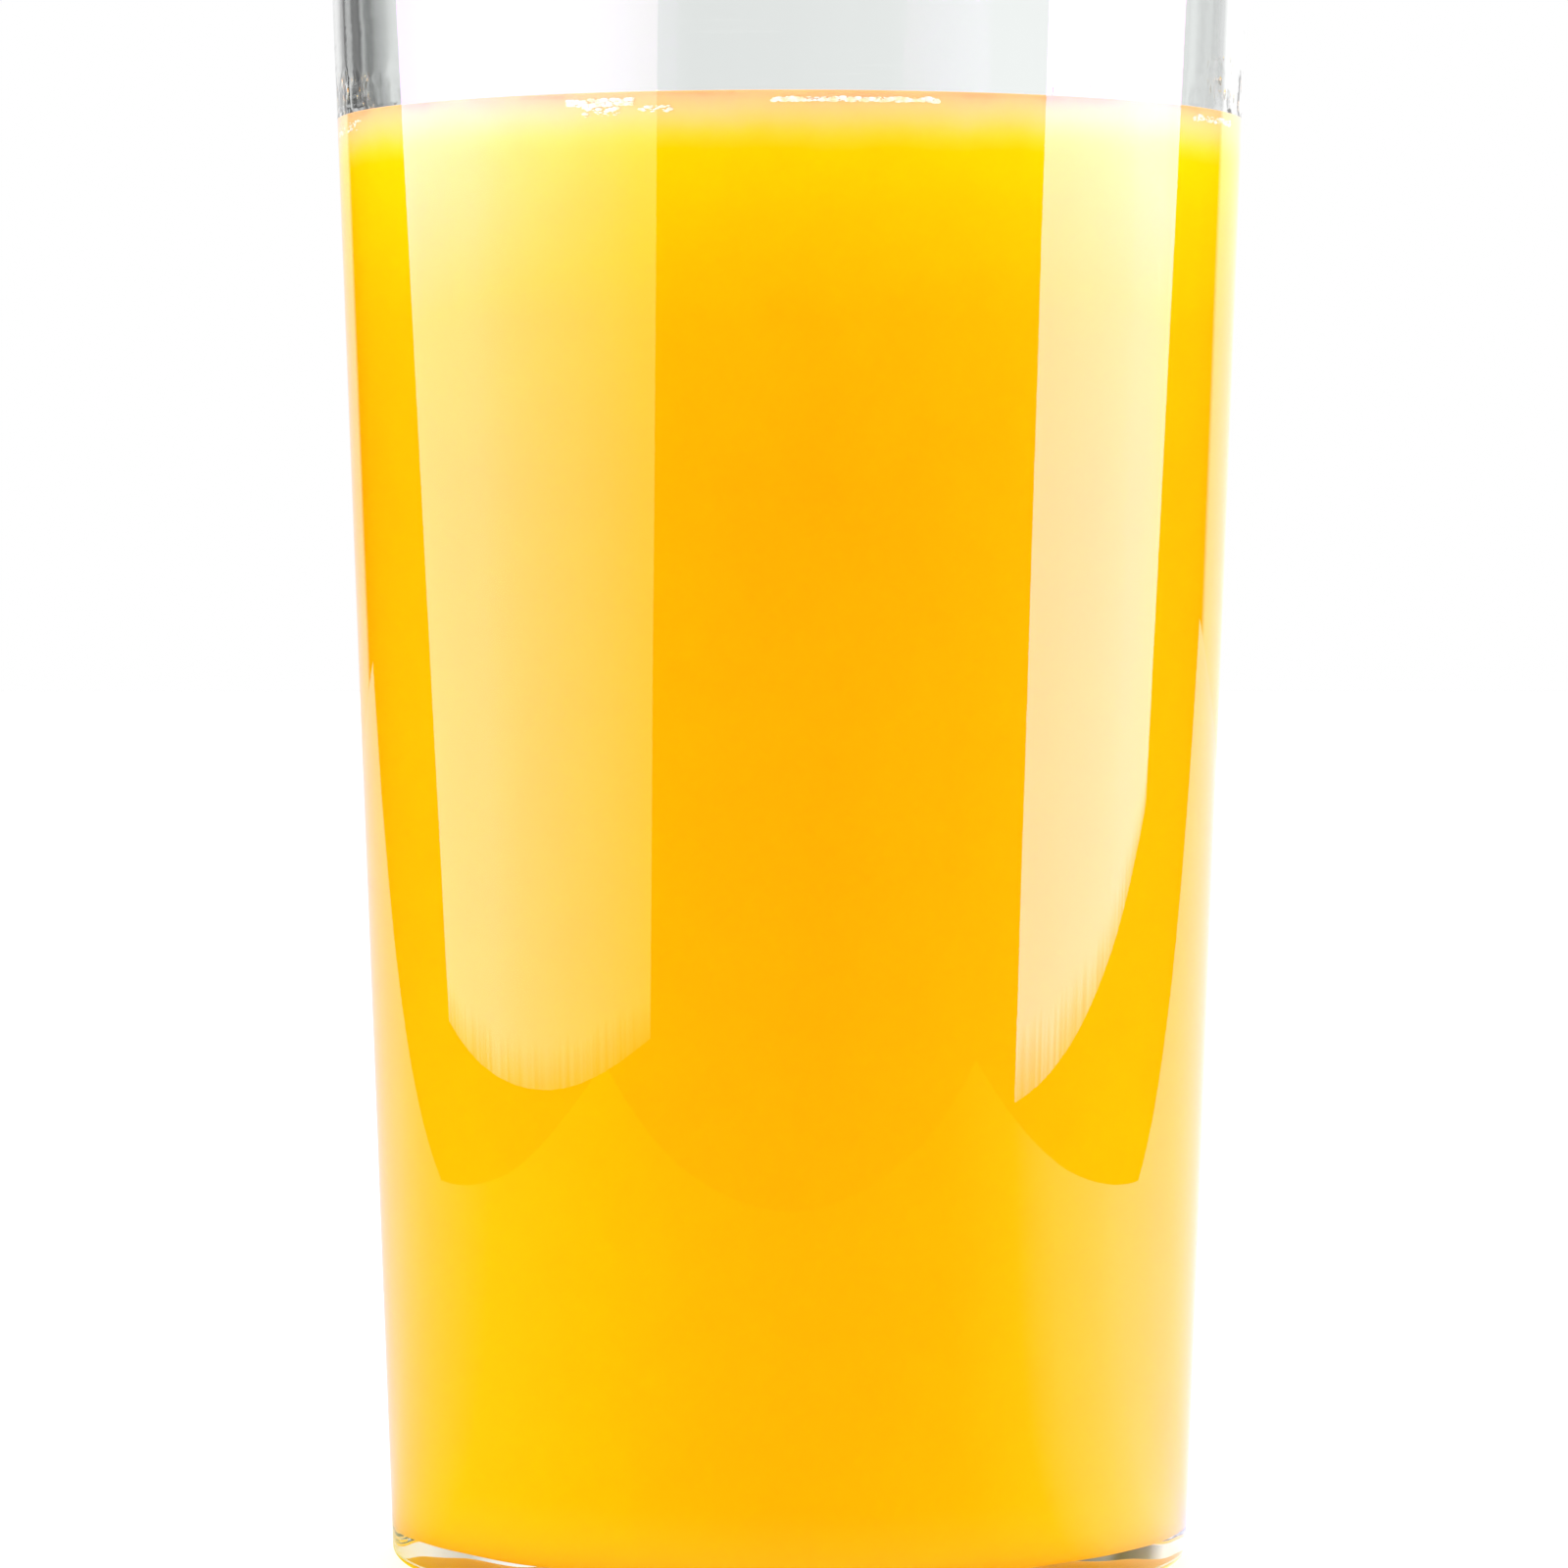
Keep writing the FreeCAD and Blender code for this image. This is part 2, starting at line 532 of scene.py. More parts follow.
@dataclass(frozen=True)
class CloudyJuice:
    """Strained orange juice: opaque and cloudy, so light sinks in a few millimetres and glows back.

    Its colour changes with depth, and much of that change is painted light: deep orange-yellow low
    in the glass, a little paler at the very bottom as painted light from the table, lemon-bright in
    the first centimetre as painted light from above, and pale peach just under the waterline, partly
    fine froth and partly painted light through the thin meniscus.
    """

    name: str
    waterline: float
    ior: float
    roughness: float
    tones: tuple = (  # millimetres under the waterline, and the colour there, paler at the top and the very bottom as painted light
        (105.0, "#FFBA14"),
        (101.0, "#FFB400"),
        (94.0, "#FFB200"),
        (80.0, "#FFB000"),
        (60.0, "#FFAC00"),
        (28.0, "#FFAA00"),
        (16.0, "#FFB000"),
        (8.3, "#FFBE00"),
        (4.0, "#FFC900"),
        (3.1, "#FFD02E"),
        (2.2, "#FFD062"),
        (1.4, "#FFD080"),
        (0.7, "#FFC988"),
        (0.3, "#FFBE8A"),
        (0.0, "#F0A87C"),
    )
    cloud_width: float = 5.0 * MM
    unevenness: float = 1.2 * MM  # how far the clouds shift the tones up and down
    glow_depth: float = 1.0 * MM
    ripple_width: float = 3.0 * MM
    ripple: float = 0.0  # height of the ripples on a free surface

    def material(self) -> bpy.types.Material:
        """Build the finish.

        Returns:
            The material, whose tones lie at their depths under the waterline.
        """
        material, tree, output = new_material(self.name)
        place = tree.nodes.new("ShaderNodeTexCoord").outputs["Object"]
        height = add_node(tree, SEPARATE, {0: place}).outputs["Z"]
        cloud = add_node(
            tree, NOISE, {"Vector": place, "Scale": 1 / self.cloud_width, "Detail": 3.0}
        ).outputs[0]
        uneven = add_node(
            tree, MATH, {0: cloud, 1: self.unevenness, 2: height}, operation="MULTIPLY_ADD"
        ).outputs[0]
        deepest = self.tones[0][0]
        top = self.waterline + self.unevenness / 2
        share = add_node(
            tree, MAP_RANGE, {"Value": uneven, "From Min": top - deepest * MM, "From Max": top}
        ).outputs[0]
        # This ramp paints light into the colour: paler near the top, as light from above and through the
        # meniscus, and at the very bottom, as light from the table.
        ramp = add_node(tree, RAMP, {0: share})
        fill_ramp(ramp, [(1 - depth / deepest, linear(tone)) for depth, tone in self.tones])
        shade = add_node(
            tree,
            MAP_RANGE,
            {"Value": cloud, "From Min": 0.3, "From Max": 0.7, "To Min": 0.97, "To Max": 1.0},
        ).outputs[0]
        colour = add_node(
            tree,
            MIX,
            {0: 1.0, 6: ramp.outputs[0], 7: shade},
            data_type="RGBA",
            blend_type="MULTIPLY",
        ).outputs[2]
        body = add_node(
            tree,
            PRINCIPLED,
            {
                "Base Color": colour,
                "Roughness": self.roughness,
                "IOR": self.ior,
                "Subsurface Weight": 0.35,
                "Subsurface Radius": (1.0, 0.55, 0.2),
                "Subsurface Scale": self.glow_depth,
            },
        )
        if self.ripple:
            waves = add_node(
                tree, NOISE, {"Vector": place, "Scale": 1 / self.ripple_width, "Detail": 2.0}
            ).outputs[0]
            bump = add_node(tree, "ShaderNodeBump", {"Height": waves, "Distance": self.ripple})
            tree.links.new(bump.outputs[0], body.inputs["Normal"])
        tree.links.new(body.outputs[0], output.inputs[0])
        return material


@dataclass(frozen=True)
class Froth:
    """Juice froth: clusters of tiny bubbles that scatter light to a creamy yellow white."""

    name: str = "juice_froth"
    pale: str = "#FFFBF0"
    deep: str = "#FFEBB8"
    speckle_width: float = 0.6 * MM
    glow_depth: float = 0.3 * MM

    def material(self) -> bpy.types.Material:
        """Build the finish.

        Returns:
            A pale, wet, speckled material.
        """
        material, tree, output = new_material(self.name)
        place = tree.nodes.new("ShaderNodeTexCoord").outputs["Object"]
        speckle = add_node(
            tree, NOISE, {"Vector": place, "Scale": 1 / self.speckle_width, "Detail": 2.0}
        ).outputs[0]
        ramp = add_node(tree, RAMP, {0: speckle})
        fill_ramp(ramp, [(0.35, linear(self.deep)), (0.6, linear(self.pale))])
        body = add_node(
            tree,
            PRINCIPLED,
            {
                "Base Color": ramp.outputs[0],
                "Roughness": 0.18,
                "IOR": 1.34,
                "Subsurface Weight": 0.15,
                "Subsurface Radius": (1.0, 0.9, 0.7),
                "Subsurface Scale": self.glow_depth,
            },
        )
        tree.links.new(body.outputs[0], output.inputs[0])
        return material


# ---------------------------------------------------------------- the object


@dataclass
class Tumbler:
    """The drinking glass. Its height and mouth come from the frame, the rest is named here."""

    name: str = "tumbler"
    foot_radius: float = 30.0 * MM  # where the outer wall's line reaches the table
    foot_corner: float = 0.8 * MM
    foot_ring: float = 3.4 * MM
    push_up: float = 0.6 * MM
    wall: float = 1.9 * MM
    floor: float = 2.0 * MM
    floor_corner: float = 6.0 * MM
    segments: int = 448
    ripple_depth: float = 0.03 * MM
    ripple_width: float = 14.0 * MM
    film_rise: float = 3.4 * MM
    film_depth: float = 0.1 * MM
    height: float = field(init=False)
    slope: float = field(init=False)
    waterline: float = field(init=False)

    def __post_init__(self) -> None:
        """Read the height, the taper and the juice's highest edge from the frame."""
        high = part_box("glass")[1]
        self.height = high.z
        self.slope = (high.x - self.foot_radius) / (high.z - self.wall / 2)
        self.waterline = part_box("juice")[1].z

    def wall_point(self, depth: float, height: float) -> Vector:
        """The point at a height on the line that lies at a depth in the wall.

        Args:
            depth: how deep, square to the wall, from its outside.
            height: how high over the table.

        Returns:
            Its radius and height.
        """
        lean = math.hypot(1.0, self.slope)
        return Vector((self.foot_radius - depth * lean + height * self.slope, height))

    def inward(self) -> Vector:
        """The direction square to the wall, towards the axis."""
        return Vector((-1.0, self.slope)).normalized()

    def cavity_corner(self, gap: float) -> tuple[Vector, Vector, Vector]:
        """The rounding between floor and wall, a gap inside it.

        Args:
            gap: how far inside the cavity's surface, or outside it where negative.

        Returns:
            Its centre, its end on the floor and its end on the wall.
        """
        radius = self.floor_corner - gap
        centre = self.wall_point(self.wall + self.floor_corner, self.floor + self.floor_corner)
        return centre, centre - Vector((0.0, radius)), centre - self.inward() * radius

    def outline(self) -> tuple[Outline, int]:
        """The glass's half outline: underside, foot ring, outer wall, rim, inner wall and floor.

        Returns:
            The outline, and the row where its inner wall starts.
        """
        corner = self.wall_point(self.foot_corner, self.foot_corner)
        ring_outer = corner - Vector((0.0, self.foot_corner))
        ring_inner = ring_outer - Vector((self.foot_ring, 0.0))
        wall_foot = corner - self.inward() * self.foot_corner
        rim_radius = self.wall / 2
        rim = self.wall_point(rim_radius, self.height - rim_radius)
        rim_top = rim + Vector((0.0, rim_radius))
        centre, on_floor, on_wall = self.cavity_corner(0.0)
        dome_radius = (ring_inner.x**2 + self.push_up**2) / (2 * self.push_up)

        shape = Outline(0.0, self.push_up)
        shape.arc(Vector((0.0, self.push_up - dome_radius)), ring_inner, 12)
        shape.line(ring_outer, 3)
        shape.arc(corner, wall_foot, 14)
        shape.line(rim - self.inward() * rim_radius, 34)
        shape.arc(rim, rim_top, 8)
        shape.arc(rim, rim + self.inward() * rim_radius, 8)
        inner_row = len(shape.points) - 1
        film_top = self.wall_point(self.wall, self.waterline + 2 * self.film_rise)
        film_foot = self.wall_point(self.wall, self.waterline)
        shape.line(film_top, 6)
        shape.line(film_foot, 32)
        shape.line(on_wall, 26)
        shape.arc(centre, on_floor, 10)
        shape.line(Vector((0.0, self.floor)), 10)
        return shape, inner_row

    def build(self, lathe: bpy.types.NodeTree, glass: bpy.types.Material) -> bpy.types.Object:
        """Turn the glass and let it stand for the frame's node.

        Args:
            lathe: the turning tree.
            glass: the clear glass finish.

        Returns:
            The finished glass.
        """
        shape, inner_row = self.outline()
        piece = grow(
            self.name,
            shape.mesh("tumbler_outline"),
            lathe,
            {
                "Rows": len(shape.points),
                "Segments": self.segments,
                "Ripple depth": self.ripple_depth,
                "Ripple width": self.ripple_width,
                "Film row": inner_row,
                "Film bottom": self.waterline,
                "Film top": self.waterline + self.film_rise,
                "Film depth": self.film_depth,
                "Finish": glass,
            },
        )
        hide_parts("glass")
        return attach(piece, ROOT)


@dataclass
class Juice:
    """The drink, from the floor of the glass up to its level, with its meniscus."""

    glass: Tumbler
    name: str = "orange_juice"
    reach: float = 0.15 * MM  # how far it goes into the glass, so that no air gap shows
    meniscus_rise: float = 1.2 * MM
    meniscus_width: float = 2.4 * MM
    segments: int = 256

    @property
    def level(self) -> float:
        """The height of the flat of the surface."""
        return self.glass.waterline - self.meniscus_rise

    def outline(self) -> Outline:
        """The juice's half outline, a little larger than the cavity.

        Returns:
            The outline, from the middle of the floor round to the middle of the surface.
        """
        glass = self.glass
        centre, on_floor, on_wall = glass.cavity_corner(-self.reach)
        contact = glass.wall_point(glass.wall - self.reach, glass.waterline)
        edge = Vector((contact.x - self.reach - self.meniscus_width, self.level))
        run = contact.x - edge.x
        bend = (run**2 + self.meniscus_rise**2) / (2 * self.meniscus_rise)
        shape = Outline(0.0, on_floor.y)
        shape.line(on_floor, 8)
        shape.arc(centre, on_wall, 10)
        shape.line(contact, 40)
        shape.arc(edge + Vector((0.0, bend)), edge, 10)
        shape.line(Vector((0.0, self.level)), 12)
        return shape

    def build(self, lathe: bpy.types.NodeTree) -> bpy.types.Object:
        """Turn the juice, with one finish against the glass and a wetter one on its free surface.

        Args:
            lathe: the turning tree.

        Returns:
            The finished juice.
        """
        against_glass = CloudyJuice("cloudy_juice", self.glass.waterline, ior=1.08, roughness=0.4)
        # The free surface's tones are paler towards its edge at the waterline: painted light through the
        # thin meniscus.
        surface = CloudyJuice(
            "juice_surface",
            self.glass.waterline,
            ior=1.35,
            roughness=0.07,
            tones=((6.0, "#FFAE00"), (1.6, "#FFB208"), (0.9, "#FFBC40"), (0.0, "#FFBE84")),
            ripple=0.05 * MM,
        )
        shape = self.outline()
        piece = grow(
            self.name,
            shape.mesh("juice_outline"),
            lathe,
            {
                "Rows": len(shape.points),
                "Segments": self.segments,
                "Ripple depth": 0.0,
                "Ripple width": 1.0,
                "Film row": len(shape.points),
                "Finish": against_glass.material(),
            },
        )
        piece.data.materials.append(surface.material())
        for face in piece.data.polygons:
            face.material_index = int(face.normal.z > FACES_UP)
        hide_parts("juice")
        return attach(piece, ROOT)


@dataclass
class Beads:
    """One scatter of small round things: droplets, bubbles or froth."""

    name: str
    count: int
    seed: int
    angle: float  # degrees from the camera's side, positive to the right
    half_angle: float
    base_radius: float
    spread: float
    taper: float
    lowest: float
    highest: float
    smallest: float
    largest: float
    shape: tuple[float, float, float] = (1.0, 1.0, 1.0)

    def mesh_on(
        self, start: bpy.types.Mesh, scatter: bpy.types.NodeTree, finish: bpy.types.Material
    ) -> bpy.types.Object:
        """Add this scatter to a mesh.

        Args:
            start: the beads that are there already.
            scatter: the scatter tree.
            finish: the beads' material.

        Returns:
            An object with the old beads and the new.
        """
        return grow(
            self.name,
            start,
            scatter,
            {
                "Count": self.count,
                "Seed": self.seed,
                "Angle": math.radians(self.angle - 90.0),
                "Half angle": math.radians(self.half_angle),
                "Radius at base": self.base_radius,
                "Radius spread": self.spread,
                "Taper": self.taper,
                "Lowest": self.lowest,
                "Highest": self.highest,
                "Smallest": self.smallest,
                "Largest": self.largest,
                "Shape": self.shape,
                "Finish": finish,
            },
        )


@dataclass
class Traces:
    """What pouring leaves: froth along the waterline, bubbles on the surface, droplets on the wall."""

    glass: Tumbler
    level: float

    def band(
        self, name: str, depth: float, span: tuple[float, float], rise: tuple[float, float], **more: Any
    ) -> Beads:
        """Beads along the inner wall.

        Args:
            name: the scatter's name.
            depth: how deep in the wall their middles lie, or how far out of it where negative.
            span: from and to, in degrees from the camera's side, positive to the right.
            rise: lowest and highest, over the waterline.
            more: the count, seed, sizes and shape.

        Returns:
            The scatter.
        """
        wall = self.glass.wall_point(self.glass.wall - depth, 0.0).x
        return Beads(
            name,
            angle=(span[0] + span[1]) / 2,
            half_angle=(span[1] - span[0]) / 2,
            base_radius=wall,
            taper=self.glass.slope,
            lowest=self.glass.waterline + rise[0],
            highest=self.glass.waterline + rise[1],
            **more,
        )

    def froth(self) -> list[Beads]:
        """Rafts of fine bubbles that lie on the meniscus against the glass.

        Returns:
            One scatter for each raft.
        """
        flat = (0.9, 1.5, 0.6)
        fine = {"spread": 0.0, "smallest": 0.05 * MM, "largest": 0.24 * MM, "shape": flat}
        depth = 0.16 * MM
        rafts = (  # from and to in degrees, lowest and highest in millimetres, and the count
            ((-84.0, -70.0), (-1.4, -0.7), 60),
            ((-28.6, -19.8), (-0.95, -0.5), 190),
            ((-26.5, -21.5), (-1.7, -0.9), 60),
            ((-18.6, -14.8), (-1.5, -1.0), 34),
            ((-2.0, 18.6), (-0.78, -0.5), 380),
            ((62.0, 76.0), (-1.0, -0.55), 150),
            ((100.0, 150.0), (-1.1, -0.4), 120),
            ((-160.0, -120.0), (-1.1, -0.4), 90),
        )
        return [
            self.band("raft", depth, span, (low * MM, high * MM), count=count, seed=11 + i, **fine)
            for i, (span, (low, high), count) in enumerate(rafts)
        ]

    def bubbles(self) -> list[Beads]:
        """Bubbles that float on the surface: most in a loose ring by the wall, a few further in.

        Returns:
            The ring and the middle.
        """
        edge = self.glass.wall_point(self.glass.wall, self.level).x
        afloat = {
            "smallest": 0.1 * MM,
            "taper": 0.0,
            "lowest": self.level,
            "highest": self.level,
            "shape": (1.0, 1.0, 0.55),
        }
        ring = {**afloat, "smallest": 0.12 * MM, "largest": 0.7 * MM}
        middle = {**afloat, "largest": 0.5 * MM}
        return [
            Beads("ring", 260, 31, 0.0, 180.0, edge - 2.6 * MM, 3.4 * MM, **ring),
            Beads("middle", 70, 32, 40.0, 100.0, edge - 6 * MM, 20 * MM, **middle),
        ]

    def droplets(self) -> list[Beads]:
        """Droplets on the inner wall over the level: a few at each side, more at the back.

        Returns:
            One scatter for each place.
        """
        tall = (0.4, 0.8, 1.5)
        small = {"spread": 0.0, "smallest": 0.07 * MM, "largest": 0.34 * MM, "shape": tall}
        places = (  # from and to in degrees, the highest in millimetres, and the count
            ((-92.0, -66.0), 3.6, 14),
            ((70.0, 92.0), 4.6, 18),
            ((100.0, 260.0), 4.0, 30),
        )
        return [
            self.band("drops", -0.02 * MM, span, (0.3 * MM, high * MM), count=count, seed=41 + i, **small)
            for i, (span, high, count) in enumerate(places)
        ]

    def build(self, scatter: bpy.types.NodeTree) -> list[bpy.types.Object]:
        """Make the three pieces.

        Args:
            scatter: the scatter tree.

        Returns:
            The froth, the bubbles and the droplets.
        """
        froth = Froth().material()
        pieces = [
            scatter_all("froth", self.froth(), scatter, froth),
            scatter_all("bubbles", self.bubbles(), scatter, froth),
            scatter_all("droplets", self.droplets(), scatter, ClearDrop().material()),
        ]
        return pieces


def scatter_all(
    name: str, layers: list[Beads], scatter: bpy.types.NodeTree, finish: bpy.types.Material
) -> bpy.types.Object:
    """Grow several scatters into one piece that rides on the glass.

    Args:
        name: the piece's name.
        layers: the scatters, one after another.
        scatter: the scatter tree.
        finish: the material of all of them.

    Returns:
        The finished piece.
    """
    mesh = bpy.data.meshes.new(name)
    piece = None
    for layer in layers:
        if piece:
            bpy.data.objects.remove(piece)
        piece = layer.mesh_on(mesh, scatter, finish)
        mesh = piece.data
    piece.name = name
    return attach(piece, ROOT)


# ---------------------------------------------------------------- the studio


def glow(
    name: str,
    tones: list[tuple[float, tuple[float, float, float]]],
    way: Way = Way.ACROSS,
    lift: tuple[float, float, float] = (1.0, 1.0, 1.0),
    soft_foot: float = 0.0,
) -> bpy.types.Material:
    """A soft glow whose colour changes along one direction of the studio.

    Args:
        name: the material's name.
        tones: place and radiance, as red, green and blue. The place is in metres across, or for a
            glow that changes around, in degrees from the camera's side, positive to the right.
        way: the direction in which the tones lie.
        lift: what the colour is multiplied by above LIFT_TOP, coming in from LIFT_FOOT.
        soft_foot: how far above and under the table the glow fades out raggedly, or 0 for not at all.

    Returns:
        The material. It isn't sampled as a lamp.
    """
    material, tree, output = new_material(name)
    place = tree.nodes.new("ShaderNodeTexCoord").outputs["Object"]
    parts = add_node(tree, SEPARATE, {0: place})
    value = parts.outputs["X"]
    if way is Way.AROUND:
        ahead = add_node(tree, MATH, {0: parts.outputs["Y"], 1: -1.0}, operation="MULTIPLY")
        turn = add_node(tree, MATH, {0: value, 1: ahead.outputs[0]}, operation="ARCTAN2")
        value = add_node(tree, MATH, {0: turn.outputs[0]}, operation="DEGREES").outputs[0]
    low, high = tones[0][0], tones[-1][0]
    brightest = max(max(tone) for _, tone in tones)
    share = add_node(tree, MAP_RANGE, {"Value": value, "From Min": low, "From Max": high}).outputs[0]
    ramp = add_node(tree, RAMP, {0: share})
    stops = [((at - low) / (high - low), (*(c / brightest for c in tone), 1.0)) for at, tone in tones]
    fill_ramp(ramp, stops)
    height = parts.outputs["Z"]
    up = add_node(tree, MAP_RANGE, {"Value": height, "From Min": LIFT_FOOT, "From Max": LIFT_TOP})
    colour = add_node(
        tree,
        MIX,
        {0: up.outputs[0], 6: (1.0, 1.0, 1.0, 1.0), 7: (*lift, 1.0)},
        data_type="RGBA",
    )
    both = add_node(
        tree,
        MIX,
        {0: 1.0, 6: ramp.outputs[0], 7: colour.outputs[2]},
        data_type="RGBA",
        blend_type="MULTIPLY",
    )
    light = add_node(tree, "ShaderNodeEmission", {"Color": both.outputs[2], "Strength": brightest})
    if soft_foot:
        streaks = add_node(tree, VECTOR_MATH, {0: place, 1: (1.0, 1.0, 0.04)}, operation="MULTIPLY")
        noise = add_node(
            tree, NOISE, {"Vector": streaks.outputs[0], "Scale": 1 / STREAK_WIDTH, "Detail": 3.0}
        )
        ragged = add_node(
            tree,
            MATH,
            {0: noise.outputs[0], 1: 2.4 * soft_foot, 2: height},
            operation="MULTIPLY_ADD",
        )
        fade = add_node(
            tree,
            MAP_RANGE,
            {
                "Value": ragged.outputs[0],
                "From Min": 0.3 * soft_foot,
                "From Max": 2.3 * soft_foot,
                "To Max": brightest,
            },
        )
        tree.links.new(fade.outputs[0], light.inputs["Strength"])
    tree.links.new(light.outputs[0], output.inputs[0])
    material.cycles.emission_sampling = "NONE"
    return material


@dataclass
class Studio:
    """White table, white surround, soft lights, and two softboxes and a painted reflection of the lit table
    top to mirror.
    """

    sink: float = 0.8 * MM  # the mirrored table lies this far under the glass's foot
    left_foot: tuple = (Vector((-0.188, -0.258)), Vector((-0.359, 0.048)))  # the line it stands on
    left_panel: tuple = ((0, 0), (395, 0), (700, 420), (-120, 420))  # along its foot and up, in mm
    right_foot: tuple = (Vector((0.242, -0.137)), Vector((0.715, 0.241)))
    right_panel: tuple = ((0, 0), (600, 0), (1590, 420), (50, 420))
    table_front: float = -200 * MM  # the lit part of the table starts here,
    table_half: float = 232 * MM  # is this wide to each side,
    table_bend: float = 70 * MM  # and widens from here
    table_back: float = 1600 * MM  # to here
    spread_left: float = 29.0  # degrees
    spread_right: float = 38.0
    # Greys of the surround by compass angle, in degrees from the camera's side, positive to the
    # right. What polished glass mirrors is white behind and dark in front.
    mirrored_greys: tuple = (
        (-180, 0.85),
        (-153, 0.85),
        (-151, 0.0),
        (141, 0.0),
        (143, 1.15),
        (180, 1.15),
    )
    # What shows through the glass is white with dark strips beside it, which give it its outline.
    seen_greys: tuple = (
        (-180, 0.82),
        (-178.2, 0.82),
        (-177.8, 0.95),
        (-174, 0.98),
        (-168, 0.9),
        (-166, 0.55),
        (-163, 0.3),
        (-161.5, 0.0),
        (-156.5, 0.0),
        (-155.5, 0.85),
        (-151, 0.8),
        (-149.5, 0.13),
        (-140, 0.25),
        (-137, 0.0),
        (-127, 0.1),
        (-119, 0.95),
        (118, 0.95),
        (126, 0.9),
        (131, 0.75),
        (139, 0.6),
        (145, 0.9),
        (150, 1.0),
        (178.3, 0.97),
        (178.7, 0.82),
        (180, 0.82),
    )
    # What lights matt things is dimmer in front, so the drink is deeper in the middle.
    matt_greys: tuple = ((-180, 0.9), (-90, 0.9), (-40, 0.5), (0, 0.4), (40, 0.5), (90, 0.9), (180, 0.9))

    def place(self, name: str, corners: list[tuple], material: bpy.types.Material) -> bpy.types.Object:
        """Put one flat stage piece in the scene.

        Args:
            name: its name.
            corners: its outline.
            material: its finish.

        Returns:
            The piece.
        """
        mesh = bpy.data.meshes.new(name)
        mesh.from_pydata(corners, [], [tuple(range(len(corners)))])
        mesh.materials.append(material)
        piece = bpy.data.objects.new(name, mesh)
        bpy.context.scene.collection.objects.link(piece)
        return piece

    def only_mirrored(self, piece: bpy.types.Object) -> None:
        """Let a stage piece show in reflections and nowhere else.

        Args:
            piece: the stage piece.
        """
        piece.visible_camera = False
        piece.visible_diffuse = False
        piece.visible_transmission = False
        piece.visible_shadow = False

    def floor(self) -> None:
        """A wide pale table top under the glass, bright enough to have no horizon."""
        # Matt white laminate with a glow of its own, so it reads plain white. The glow is weaker near the
        # glass, which paints shade under it on top of its real shadow.
        material, tree, output = new_material("white_table")
        place = tree.nodes.new("ShaderNodeTexCoord").outputs["Object"]
        away = add_node(tree, VECTOR_MATH, {0: place}, operation="LENGTH")
        # The glow rises outwards from the glass's foot: painted shade close to the glass.
        lift = add_node(
            tree,
            MAP_RANGE,
            {0: away.outputs["Value"], "From Min": 0.06, "From Max": 0.5, "To Min": 0.3, "To Max": 0.62},
        )
        matt = add_node(
            tree,
            PRINCIPLED,
            {
                "Base Color": linear("#E6E6E6"),
                "Roughness": 0.6,
                "Emission Color": (1.0, 1.0, 1.0, 1.0),
                "Emission Strength": lift.outputs[0],
            },
        )
        tree.links.new(matt.outputs[0], output.inputs[0])
        material.cycles.emission_sampling = "NONE"
        half, drop = 3.0, -0.05 * MM
        corners = [(-half, -half, drop), (half, -half, drop), (half, half, drop), (-half, half, drop)]
        self.place("table", corners, material).visible_glossy = False

    def mirrors(self) -> None:
        """What the glass mirrors: a softbox on each side and a glowing card that is a painted reflection of
        the lit table top.
        """
        # Diffusion cloth, lit from behind. On the glass each is a pale band with crisp long sides.
        left = glow(
            "softbox_left",
            [(-0.400, (5.0, 2.9, 3.2)), (-0.31, (5.0, 3.6, 4.2)), (-0.188, (3.0, 3.1, 1.3))],
            lift=(1.0, 0.7, 1.9),
            soft_foot=4 * MM,
        )
        right = glow(
            "softbox_right",
            [(0.242, (8.0, 5.2, 7.6)), (0.5, (8.0, 4.7, 7.2)), (0.8, (8.0, 4.0, 5.0))],
            lift=(1.0, 0.75, 1.35),
            soft_foot=6 * MM,
        )
        for name, foot, panel, material in (
            ("softbox_left", self.left_foot, self.left_panel, left),
            ("softbox_right", self.right_foot, self.right_panel, right),
        ):
            run = (foot[1] - foot[0]).normalized() * MM
            corners = [(*(foot[0] + run * along), up * MM - self.sink) for along, up in panel]
            self.only_mirrored(self.place(name, corners, material))
        # A glowing card in the shape of the table, seen only in the glass: a painted reflection of the lit
        # laminate, with painted shade that makes it dim in front and painted light that makes it bright at
        # the sides. It is a soft veil low on the drink.
        edge = (0.9, 0.9, 1.0)
        lit = glow(
            "lit_table",
            [
                (-180, edge),
                (-132, edge),
                (-112, (0.8, 0.8, 0.6)),
                (-85, (0.9, 0.9, 0.05)),
                (-50, (0.9, 0.9, 0.0)),
                (-25, (0.6, 0.6, 0.0)),
                (0, (0.4, 0.4, 0.0)),
                (40, (0.3, 0.3, 0.0)),
                (60, (1.0, 1.0, 0.05)),
                (72, (1.6, 1.6, 0.8)),
                (98, (1.6, 1.6, 1.7)),
                (116, (1.2, 1.2, 1.6)),
                (126, (1.2, 1.2, 1.4)),
                (180, (1.2, 1.2, 1.4)),
            ],
            way=Way.AROUND,
        )
        half, run = self.table_half, self.table_back - self.table_bend
        left_back = half + run * math.tan(math.radians(self.spread_left))
        right_back = half + run * math.tan(math.radians(self.spread_right))
        outline = [
            (-half, self.table_front),
            (half, self.table_front),
            (half, self.table_bend),
            (right_back, self.table_back),
            (-left_back, self.table_back),
            (-half, self.table_bend),
        ]
        corners = [(x, y, -self.sink) for x, y in outline]
        self.only_mirrored(self.place("lit_table", corners, lit))

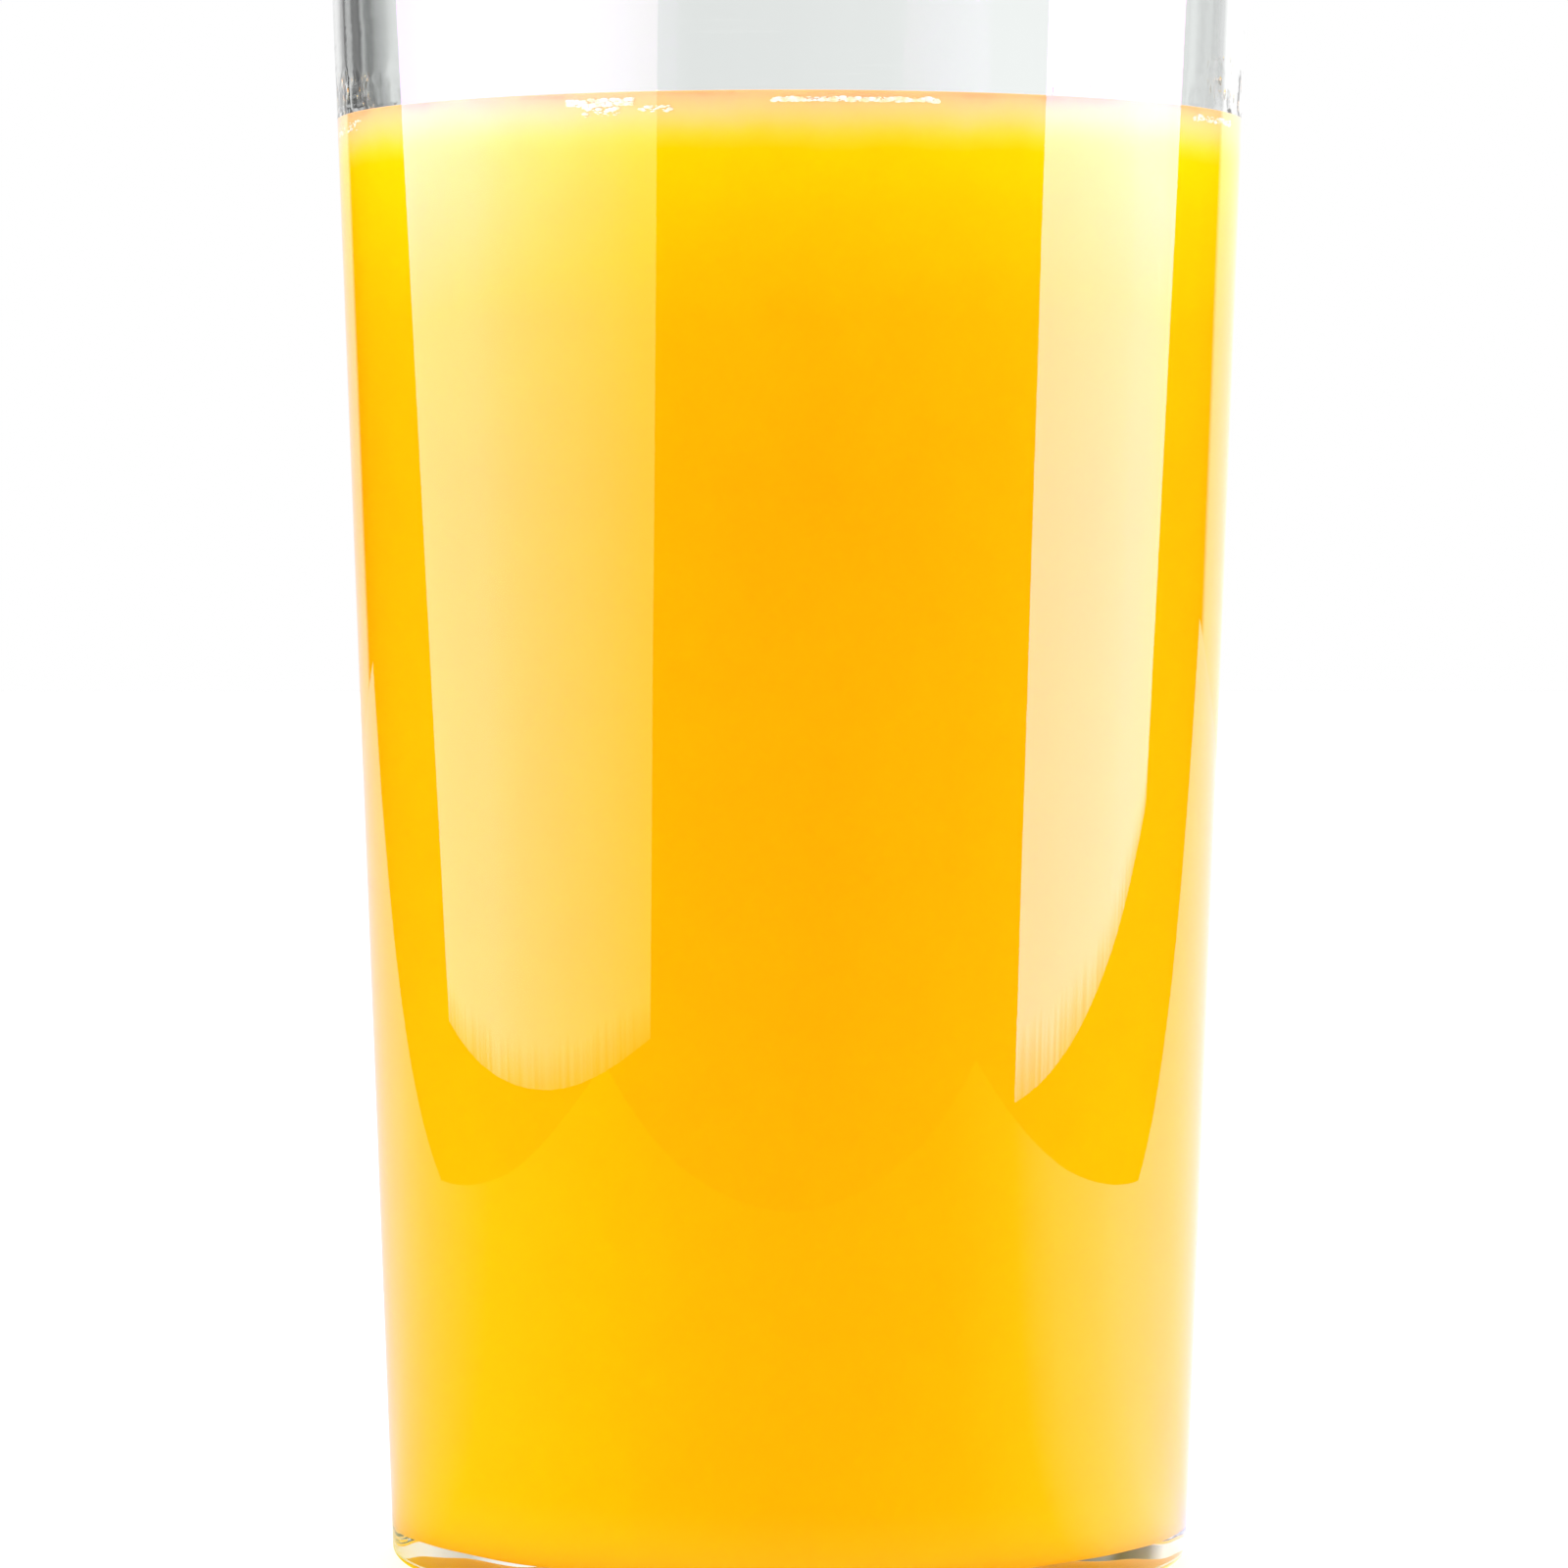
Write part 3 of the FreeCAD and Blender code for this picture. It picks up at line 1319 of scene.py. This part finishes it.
    def lamp(self, name: str, place: tuple, size: float, power: float) -> None:
        """A square soft light aimed at the middle of the glass.

        Args:
            name: its name.
            place: where it hangs.
            size: the length of its side.
            power: its power in watts.
        """
        light = bpy.data.lights.new(name, "AREA")
        light.size = size
        light.energy = power
        lamp = bpy.data.objects.new(name, light)
        lamp.location = place
        aim = Vector((0.0, 0.0, 60 * MM)) - Vector(place)
        lamp.rotation_euler = aim.to_track_quat("-Z", "Y").to_euler()
        lamp.visible_camera = False
        lamp.visible_glossy = False
        lamp.visible_transmission = False
        bpy.context.scene.collection.objects.link(lamp)

    def surround(self) -> None:
        """The white room: pure white behind the glass, dark in front of it, soft light on matt things."""
        world = bpy.data.worlds.new("white_room")
        bpy.context.scene.world = world
        world.use_nodes = True
        tree = world.node_tree
        tree.nodes.clear()
        path = tree.nodes.new("ShaderNodeLightPath")
        way = tree.nodes.new("ShaderNodeTexCoord").outputs["Generated"]
        parts = add_node(tree, SEPARATE, {0: way})
        to_camera = add_node(tree, MATH, {0: parts.outputs["Y"], 1: -1.0}, operation="MULTIPLY")
        turn = add_node(tree, MATH, {0: parts.outputs["X"], 1: to_camera.outputs[0]}, operation="ARCTAN2")
        around = add_node(
            tree,
            MAP_RANGE,
            {"Value": turn.outputs[0], "From Min": -math.pi, "From Max": math.pi},
        ).outputs[0]

        greys = {}
        for ray, stops in (
            (None, self.matt_greys),
            (Ray.GLOSSY, self.mirrored_greys),
            (Ray.TRANSMISSION, self.seen_greys),
        ):
            ramp = add_node(tree, RAMP, {0: around})
            fill_ramp(ramp, [((at + 180) / 360, (grey, grey, grey, 1.0)) for at, grey in stops])
            greys[ray] = ramp.outputs[0]
        colour = greys.pop(None)
        for ray, seen in greys.items():
            colour = add_node(
                tree, MIX, {0: path.outputs[ray.value], 6: colour, 7: seen}, data_type="RGBA"
            ).outputs[2]
        colour = add_node(
            tree,
            MIX,
            {0: path.outputs[Ray.CAMERA.value], 6: colour, 7: (1.0, 1.0, 1.0, 1.0)},
            data_type="RGBA",
        ).outputs[2]
        background = add_node(tree, "ShaderNodeBackground", {"Color": colour, "Strength": 1.0})
        add_node(tree, "ShaderNodeOutputWorld", {0: background.outputs[0]})

    def build(self) -> None:
        """Set up the whole studio."""
        self.floor()
        self.mirrors()
        self.lamp("lamp_left", (-0.75, -0.25, 0.35), size=0.5, power=3.8)
        self.lamp("lamp_right", (0.75, -0.15, 0.35), size=0.5, power=3.8)
        self.lamp("lamp_top", (0.0, 0.1, 0.9), size=0.7, power=3.5)
        self.surround()


@dataclass
class Camera:
    """A long lens a little below the waterline, tipped slightly down."""

    distance: float = 491 * MM
    height: float = 75.7 * MM
    tip: float = 2.05  # degrees down
    pan: float = 0.05  # degrees to the left
    frame_width: float = 36.0
    focal_length: float = 149.4

    def build(self) -> None:
        """Make it and point it."""
        data = bpy.data.cameras.new("camera")
        data.sensor_width = self.frame_width
        data.lens = self.focal_length
        data.clip_start = 10 * MM
        camera = bpy.data.objects.new("camera", data)
        camera.location = (0.0, -self.distance, self.height)
        camera.rotation_euler = (math.radians(90 - self.tip), 0.0, math.radians(self.pan))
        bpy.context.scene.collection.objects.link(camera)
        bpy.context.scene.camera = camera


def settle_light() -> None:
    """Plain tones, enough bounces for thick glass, and no caustics, which the open glass replaces."""
    scene = bpy.context.scene
    scene.view_settings.view_transform = "Standard"
    scene.view_settings.look = "None"
    scene.cycles.max_bounces = 24
    scene.cycles.transmission_bounces = 20
    scene.cycles.glossy_bounces = 12
    scene.cycles.diffuse_bounces = 4
    scene.cycles.transparent_max_bounces = 24
    scene.cycles.caustics_reflective = False
    scene.cycles.caustics_refractive = False


def main() -> None:
    """Build the camera, the studio and each piece."""
    logging.basicConfig(level=logging.INFO, format="%(message)s")
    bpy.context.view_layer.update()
    Camera().build()
    Studio().build()
    settle_light()

    lathe = turning_tree()
    scatter = scatter_tree()
    glass = Tumbler()
    juice = Juice(glass)
    report(glass.build(lathe, ClearGlass().material()))
    report(juice.build(lathe))
    for piece in Traces(glass, juice.level).build(scatter):
        report(piece)


if __name__ == "__main__":
    main()
